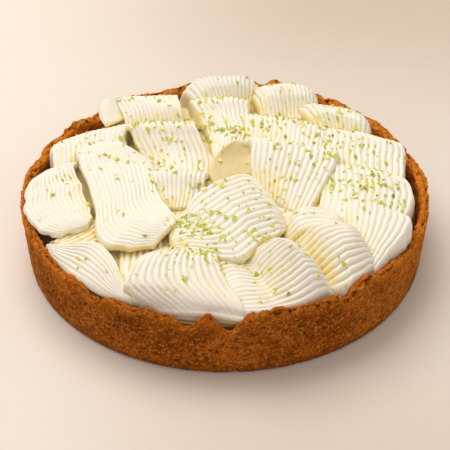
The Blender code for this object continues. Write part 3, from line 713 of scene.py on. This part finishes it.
def solid_rings(top, foot, edge_round):
    """Closed rings of a solid ribbon: its top with rounded ends, and walls down to its foot."""
    top = round_ends(top, edge_round)
    foot = np.minimum(foot, top[..., 2].min() - MM)
    outward = unit(top[:, -1] - top[:, -2])
    outward[:, 2] = 0.0
    right, left = [], []
    for share, bulge in ((0.3, 0.5), (0.65, 0.6), (1.0, 0.0)):
        for walls, column, sign in ((right, -1, 1.0), (left, 0, -1.0)):
            wall = top[:, column] + sign * outward * bulge * MM
            wall[:, 2] += (foot - wall[:, 2]) * share
            walls.append(wall)
    return np.concatenate((top, np.stack(right, 1), np.stack(left[::-1], 1)), axis=1)


def sheet_rings(points, normals, relief, grooves, edge, along, thick, step):
    """Closed rings of a ribbon that is a sheet: its ribbed top and its smooth underside."""
    middle = np.diff(points[:, points.shape[1] // 2], axis=0)
    end = np.minimum(along, 1.0 - along) * np.linalg.norm(middle, axis=1).sum()
    radius = 0.48 * thick
    drop = np.maximum(rounded_drop(end, radius)[:, None], rounded_drop(edge, radius))
    top = points + normals * (relief - drop)[..., None]
    pick = np.arange(points.shape[1] - 1, -1, -step)
    under = np.maximum(thick - drop[:, pick], 0.5 * thick) + grooves[:, pick]
    bottom = points[:, pick] - normals[:, pick] * under[..., None]
    return np.concatenate((top, bottom), axis=1)


def make_ribbon(name, ribbon, settings):
    """Closed mesh of one ribbed ribbon of cream."""
    seed = sum(ord(letter) for letter in name)
    teeth, step = ribbon["teeth"], settings.samples_per_rib
    full_width = settings.full_crown_width
    along = np.linspace(0.0, 1.0, settings.rows)
    flat = np.linspace(0.0, 1.0, teeth * step + 1)
    straight = np.broadcast_to(flat, (settings.rows, len(flat)))
    _, _, width = ribbon_sheet(ribbon, along, straight, full_width)
    travel = along * len(ribbon["stations"])
    sway = ribbon["sway"] * wave(travel * 1.5, seed) + 0.05 * wave(travel * 9.0, seed + 1)
    sway = sway * np.minimum(1.0, width / full_width) ** 2
    across = straight + (sway * MM / width)[:, None]
    points, normals, width = ribbon_sheet(ribbon, along, across, full_width)
    depth = np.minimum(settings.rib_depth * ribbon["ribs"], 0.42 * (width / teeth)[:, None])
    depth = depth * rib_share(ribbon, along, straight, points)
    swell = uneven(points, 4, step, 70.0, settings.unevenness) - 0.5 * settings.unevenness
    relief = depth * (rib_height(flat, teeth, seed) - 1.0) + swell
    edge = np.minimum(flat, 1.0 - flat) * width[:, None]
    if "foot" in ribbon:
        top = points + normals * relief[..., None]
        top[..., 2] -= rounded_drop(edge, settings.edge_round)
        rings = solid_rings(top, ribbon["foot"] * MM, settings.edge_round)
    else:
        rings = sheet_rings(
            points, normals, relief, depth - swell, edge, along, ribbon["thick"] * MM, step)
    return link_mesh(name, tuck_inside_rim(rings.reshape(-1, 3), settings), bridge_rings(rings))


def make_bed(settings):
    """Low cream that shows between the ribbons, a slumped disc with a rounded edge."""
    outline = [(settings.bed_radius, CAD_FILLING_TOP + 0.4 * MM)]
    for step in range(8, -1, -1):
        turn = 0.5 * math.pi * step / 8
        outline.append((settings.bed_radius - settings.bed_round * (1.0 - math.sin(turn)),
                        settings.bed_top - settings.bed_round * (1.0 - math.cos(turn))))
    outline += [(settings.bed_radius * share, settings.bed_top) for share in
                (0.9, 0.8, 0.7, 0.6, 0.5, 0.4, 0.3, 0.2, 0.1, 0.03)]
    steps = 160
    lump = 1.2 * MM
    rings = np.array([[(radius * math.cos(math.tau * step / steps),
                        radius * math.sin(math.tau * step / steps), height)
                       for step in range(steps)] for radius, height in outline])
    for ring in rings[2:]:
        for point in ring:
            point[2] += lump * noise.noise(Vector(point) * 55.0)
    return link_mesh("cream_bed", rings[::-1].reshape(-1, 3), bridge_rings(rings[::-1]))


def painted_warm_shade(name, place):
    """Extra painted warm shade at a place of one ribbon."""
    return sum(extra * math.exp(-math.hypot(place.x / MM - x, place.y / MM - y) ** 2 / reach ** 2)
               for x, y, reach, extra in WARM_SHADE_PLACES.get(name, ()))


def shade_hollows(pieces, settings):
    """Store how shut in each point of the cream is, with the listed extra, as the share of painted
    warm shade there.
    """
    surface = cream_surface(pieces)
    clear = 1.5 * MM
    rough = random.Random(5)
    rays = []
    for _ in range(settings.hollow_rays):
        turn, lift = rough.uniform(0.0, math.tau), math.sqrt(rough.random())
        rays.append(Vector((lift * math.cos(turn), lift * math.sin(turn),
                            math.sqrt(1.0 - lift ** 2))))
    for piece in pieces:
        vertices = piece.data.vertices
        cells = {}
        keys = [tuple(round(value / settings.hollow_cell) for value in vertex.co)
                for vertex in vertices]
        for key, vertex in zip(keys, vertices):
            if key in cells:
                continue
            start = vertex.co + vertex.normal * clear
            frame_of_ray = vertex.normal.to_track_quat("Z", "Y")
            hits = sum(surface.ray_cast(start, frame_of_ray @ ray, settings.hollow_reach)[0]
                       is not None for ray in rays)
            cells[key] = hits / len(rays)
        add_attribute(piece, "hollow_shade", [min(1.0, cells[key] + painted_warm_shade(piece.name, vertex.co))
                                        for key, vertex in zip(keys, vertices)])


# ---------------------------------------------------------------- crust

def rim_rise(degrees):
    """Rise of the crumbled rim in mm at an angle round the pie."""
    rise = np.zeros_like(degrees)
    for centre, half_width, height in RIM_BUMPS:
        away = np.abs((degrees - centre + 180.0) % 360.0 - 180.0)
        bump = height * 0.5 * (1.0 + np.cos(np.pi * np.minimum(away / half_width, 1.0)))
        rise += bump
    return rise


def crumb_lump(point, size):
    """Rounded lump of one crumb, from 0 at its edge to 1 at its middle."""
    distance = noise.voronoi(point / size)[0][0]
    return math.sqrt(max(0.0, 1.0 - (distance / 0.75) ** 2))


def crust_section(settings):
    """Section of the crust: (radius, height, roughness share) from base edge to inner floor."""
    high = settings.rim_height / MM
    wall = settings.wall / MM
    shoulder = high - LIP
    rows = []
    for step in range(SIDE_ROWS):
        height = SIDE_START + (shoulder - SIDE_START) * step / (SIDE_ROWS - 1)
        tuck = 1.2 * max(0.0, 1.0 - height / 3.0) ** 2
        radius = BASE_RADIUS + (RIM_RADIUS - 0.25 - BASE_RADIUS) * height / high - tuck
        rows.append((radius, height,
                     0.45 + 0.55 * max(0.0, 1.0 - (high - height) / ROUGH_BAND)))
    centre = RIM_RADIUS - 0.1 - wall / 2.0
    for step in range(1, LIP_ROWS):
        angle = math.pi * step / LIP_ROWS
        rows.append((centre + wall / 2.0 * math.cos(angle),
                     shoulder + LIP * math.sin(angle), 1.0))
    for step in range(INNER_ROWS):
        height = shoulder - INNER_DEPTH * step / (INNER_ROWS - 1)
        rows.append((RIM_RADIUS - 0.1 - wall, height, 0.8))
    rows.append((RIM_RADIUS - wall - 0.9, INNER_FLOOR, 0.0))
    return rows


def crumb_relief(place, rough):
    """Rise of the crumbs at a place on the crust in mm, and how much painted pit shade it gets."""
    coarse = noise.fractal(place / 8.0, 1.0, 2.0, 3)
    chunk, lump, fine = (crumb_lump(place, size) - 0.75 for size in CRUMB_SIZES)
    hole = max(0.0, noise.noise(place / 2.2 + Vector((31.0, 7.0, 3.0))) - 0.5) * 8.0
    hole *= 1.45 - rough
    rise = rough * (0.5 * coarse + 1.3 * rough ** 2 * chunk + 0.7 * lump + 0.6 * fine)
    return rise - 1.2 * min(1.0, hole), min(1.0, hole + max(0.0, -0.9 * rise - 0.5))


def make_crust(settings):
    """Closed crust with real crumbs on its side and rim."""
    steps = settings.steps
    rows = crust_section(settings)
    angles = np.linspace(0.0, math.tau, steps, endpoint=False)
    rise = rim_rise(np.degrees(angles))
    high = settings.rim_height / MM
    half_wall = settings.wall / MM / 2.0
    verts, pit_shades, rims, lows = [], [], [], []
    for radius, height, rough in rows:
        share = max(0.0, (height - 0.55 * high) / (0.45 * high))
        side = BASE_RADIUS + (RIM_RADIUS - BASE_RADIUS) * height / high
        outward = 1.0 if radius > side - half_wall else -1.0
        for index, angle in enumerate(angles):
            direction = Vector((math.cos(angle), math.sin(angle), 0.0))
            place = direction * radius + Vector((0.0, 0.0, height + share * rise[index]))
            relief, pit_shade = crumb_relief(place, rough)
            if rough > 0.0:
                relief = max(RELIEF_LOW, min(relief, RELIEF_HIGH))
                place += direction * (relief - RELIEF_HIGH) * outward
                place.z += rough * share * max(0.0, share - 0.5) * 2.2 * relief
            verts.append(place * MM)
            pit_shades.append(pit_shade)
            wander = 2.0 * noise.noise(place / 7.0)
            rims.append(min(1.0, max(0.0, (height - high + RIM_BAND + wander) / 6.0)))
            lows.append(min(0.85, max(0.0, (FOOT_BAND - height + 2.0 * wander) / 8.0)))
    faces = []
    for row in range(len(rows) - 1):
        for step in range(steps):
            after = (step + 1) % steps
            faces.append((row * steps + step, row * steps + after,
                          (row + 1) * steps + after, (row + 1) * steps + step))
    base_ring = len(verts)
    flat_radius = (BASE_RADIUS - 4.5) * MM
    verts += [Vector((math.cos(angle), math.sin(angle), 0.0)) * flat_radius for angle in angles]
    pit_shades += [0.0] * steps
    rims += [0.0] * steps
    lows += [1.0] * steps
    for step in range(steps):
        after = (step + 1) % steps
        faces.append((base_ring + step, base_ring + after, after, step))
    faces.append(tuple(range(base_ring + steps - 1, base_ring - 1, -1)))
    last = (len(rows) - 1) * steps
    faces.append(tuple(range(last, last + steps)))
    piece = link_mesh("crust_crumb", verts, faces)
    add_attribute(piece, "pit_shade", pit_shades)
    add_attribute(piece, "rim", rims)
    add_attribute(piece, "low", lows)
    return piece


# ---------------------------------------------------------------- toppings

def cream_surface(pieces):
    """Search tree over the meshes of all the cream."""
    verts, polygons = [], []
    for piece in pieces:
        start = len(verts)
        verts.extend(vertex.co.copy() for vertex in piece.data.vertices)
        polygons.extend(
            [start + index for index in face.vertices] for face in piece.data.polygons)
    return BVHTree.FromPolygons(verts, polygons)


def scatter_places(patches, rough):
    """Places in mm for patches of (x, y, spread across, spread deep, count)."""
    for x, y, across, deep, count in patches:
        for _ in range(count):
            yield rough.gauss(x, across), rough.gauss(y, deep)


def add_chip(verts, faces, basis, outline, thickness):
    """Flat chip of any outline, dished a little, on a basis."""
    dish = 125.0
    start = len(verts)
    count = len(outline)
    for level in (-0.5, 0.5):
        for x, y in outline:
            verts.append(basis @ Vector((x, y, level * thickness + dish * x * x)))
    faces.append(tuple(range(start + count - 1, start - 1, -1)))
    faces.append(tuple(range(start + count, start + 2 * count)))
    for step in range(count):
        after = (step + 1) % count
        faces.append((start + step, start + after, start + count + after, start + count + step))


def scatter_chips(name, surface, patches, seed, lengths, slender, thickness):
    """Joined mesh of chips lying on the cream, each with its own tone."""
    rough = random.Random(seed)
    verts, faces, tones = [], [], []
    for x, y in scatter_places(patches, rough):
        length = lengths[0] + (lengths[1] - lengths[0]) * rough.random() ** 1.5
        breadth = length / rough.uniform(*slender)
        turn, lean = rough.uniform(0.0, math.tau), rough.uniform(-0.4, 0.4)
        tone = min(1.0, max(0.0, rough.gauss(0.56, 0.27)))
        sides = rough.randint(5, 8)
        outline = []
        for side in range(sides):
            angle = math.tau * (side + rough.uniform(-0.3, 0.3)) / sides
            reach = rough.uniform(0.3, 0.5)
            outline.append((length * reach * math.cos(angle), breadth * reach * math.sin(angle)))
        hit, normal, _, _ = surface.ray_cast(
            Vector((x * MM, y * MM, 0.2)), Vector((0.0, 0.0, -1.0)))
        if hit is None or math.hypot(x, y) > RIM_RADIUS - 8.0:
            continue
        to_surface = normal.to_track_quat("Z", "Y").to_matrix().to_4x4()
        basis = Matrix.Translation(hit + normal * 0.3 * thickness) @ to_surface
        basis = basis @ Matrix.Rotation(turn, 4, "Z") @ Matrix.Rotation(lean, 4, "Y")
        if hit.z + 0.7 * length > CAD_HIGH.z:
            continue
        add_chip(verts, faces, basis, outline, thickness * rough.uniform(0.7, 1.3))
        tones += [tone] * (2 * sides)
    piece = link_mesh(name, verts, faces)
    for polygon in piece.data.polygons:
        polygon.use_smooth = False
    add_attribute(piece, "tone", tones)
    return piece


# ---------------------------------------------------------------- operators

def shared_material(name, maker, *arguments):
    """Material made once and used again."""
    found = bpy.data.materials.get(name)
    return found if found else maker(*arguments)


class PIE_OT_crust(bpy.types.Operator):
    """Make the crumb crust and finish the filling"""

    bl_idname = "pie.crust"
    bl_label = "Crust"

    def execute(self, context):
        settings = context.scene.pie_crust
        crust = make_crust(settings)
        dress(crust, shared_material("baked_crumb", crust_material, settings), ["crust"])
        filling = frame["nodes"]["filling"]
        filling.data.materials.clear()
        filling.data.materials.append(shared_material("shade_dark_filling", shaded_filling_material))
        return {"FINISHED"}


class PIE_OT_cream(bpy.types.Operator):
    """Pipe the ribbons of cream"""

    bl_idname = "pie.cream"
    bl_label = "Cream ribbons"

    def execute(self, context):
        settings = context.scene.pie_cream
        material = shared_material("whipped_cream", cream_material, settings)
        pieces = [make_bed(settings)]
        dress(pieces[0], material, ["low_cream"])
        for node, ribbon in RIBBONS.items():
            piece = make_ribbon(node.replace("ribbon", "cream"), ribbon, settings)
            dress(piece, material, [node])
            pieces.append(piece)
        shade_hollows(pieces, settings)
        return {"FINISHED"}


class PIE_OT_toppings(bpy.types.Operator):
    """Sprinkle zest and crumbs"""

    bl_idname = "pie.toppings"
    bl_label = "Zest and crumbs"

    def execute(self, context):
        settings = context.scene.pie_toppings
        surface = cream_surface(
            [piece for piece in context.scene.objects if piece.name.startswith("cream_")])
        zest = scatter_chips(
            "zest", surface, ZEST_PATCHES, 11,
            (settings.zest_shortest, settings.zest_longest), (1.0, 2.6), settings.zest_thickness)
        dress(zest, shared_material("lime_zest", zest_material))
        crumbs = scatter_chips(
            "loose_crumbs", surface, CRUMB_PATCHES, 4,
            (0.6 * settings.crumb_size, 1.2 * settings.crumb_size), (1.0, 1.6),
            0.5 * settings.crumb_size)
        dress(crumbs, shared_material("loose_crumb", crumb_material))
        return {"FINISHED"}


def floor_shade(x, y):
    """How much painted shade darkens the floor at a place in mm."""
    return min(1.0, sum(depth * math.exp(-((x - at_x) ** 2 + (y - at_y) ** 2) / reach ** 2)
                        for at_x, at_y, reach, depth in FLOOR_SHADES))


def add_area_light(name, place, size, power):
    """Soft square light aimed at the pie."""
    data = bpy.data.lights.new(name, "AREA")
    data.size = size
    data.energy = power
    data.color = LIGHT_COLOUR
    light = bpy.data.objects.new(name, data)
    light.location = place
    light.rotation_euler = (LIGHT_TARGET - light.location).to_track_quat("-Z", "Y").to_euler()
    bpy.context.scene.collection.objects.link(light)


class PIE_OT_stage(bpy.types.Operator):
    """Set the floor, the lights and the camera"""

    bl_idname = "pie.stage"
    bl_label = "Stage"

    def execute(self, context):
        scene = context.scene
        bpy.ops.mesh.primitive_grid_add(
            x_subdivisions=FLOOR_STEPS, y_subdivisions=FLOOR_STEPS, size=FLOOR_SIZE)
        floor = context.active_object
        floor.name = "floor"
        add_attribute(floor, "shade", [
            floor_shade(vertex.co.x / MM, vertex.co.y / MM) for vertex in floor.data.vertices])
        floor.data.materials.append(floor_material())
        for light in LIGHTS:
            add_area_light(*light)
        world = bpy.data.worlds.new("soft_room")
        world.use_nodes = True
        background = world.node_tree.nodes["Background"]
        background.inputs["Color"].default_value = (*ROOM_COLOUR, 1.0)
        background.inputs["Strength"].default_value = ROOM_STRENGTH
        scene.world = world
        scene.view_settings.view_transform = "Standard"
        away = Vector((0.0, -math.cos(CAMERA_ELEVATION), math.sin(CAMERA_ELEVATION)))
        camera_data = bpy.data.cameras.new("camera")
        camera_data.lens = CAMERA_LENS
        camera_data.sensor_width = 36.0
        camera = bpy.data.objects.new("camera", camera_data)
        camera.location = CAMERA_TARGET + away * CAMERA_DISTANCE
        camera.rotation_euler = (-away).to_track_quat("-Z", "Y").to_euler()
        scene.collection.objects.link(camera)
        scene.camera = camera
        return {"FINISHED"}


class PIE_PT_panel(bpy.types.Panel):
    """Pie tools in the sidebar"""

    bl_label = "Pie"
    bl_idname = "PIE_PT_panel"
    bl_space_type = "VIEW_3D"
    bl_region_type = "UI"
    bl_category = "Pie"

    def draw(self, context):
        for operator in (PIE_OT_crust, PIE_OT_cream, PIE_OT_toppings, PIE_OT_stage):
            self.layout.operator(operator.bl_idname)


CLASSES = (
    PieCreamSettings, PieCrustSettings, PieToppingSettings,
    PIE_OT_crust, PIE_OT_cream, PIE_OT_toppings, PIE_OT_stage, PIE_PT_panel,
)


def register():
    """Register the classes and their settings."""
    for cls in CLASSES:
        bpy.utils.register_class(cls)
    bpy.types.Scene.pie_cream = PointerProperty(type=PieCreamSettings)
    bpy.types.Scene.pie_crust = PointerProperty(type=PieCrustSettings)
    bpy.types.Scene.pie_toppings = PointerProperty(type=PieToppingSettings)


def unregister():
    """Remove the classes and their settings."""
    del bpy.types.Scene.pie_cream
    del bpy.types.Scene.pie_crust
    del bpy.types.Scene.pie_toppings
    for cls in reversed(CLASSES):
        bpy.utils.unregister_class(cls)


def main():
    """Register the tools and build everything: stage, crust, cream and toppings."""
    register()
    bpy.ops.pie.stage()
    bpy.ops.pie.crust()
    bpy.ops.pie.cream()
    bpy.ops.pie.toppings()


if __name__ == "__main__":
    main()
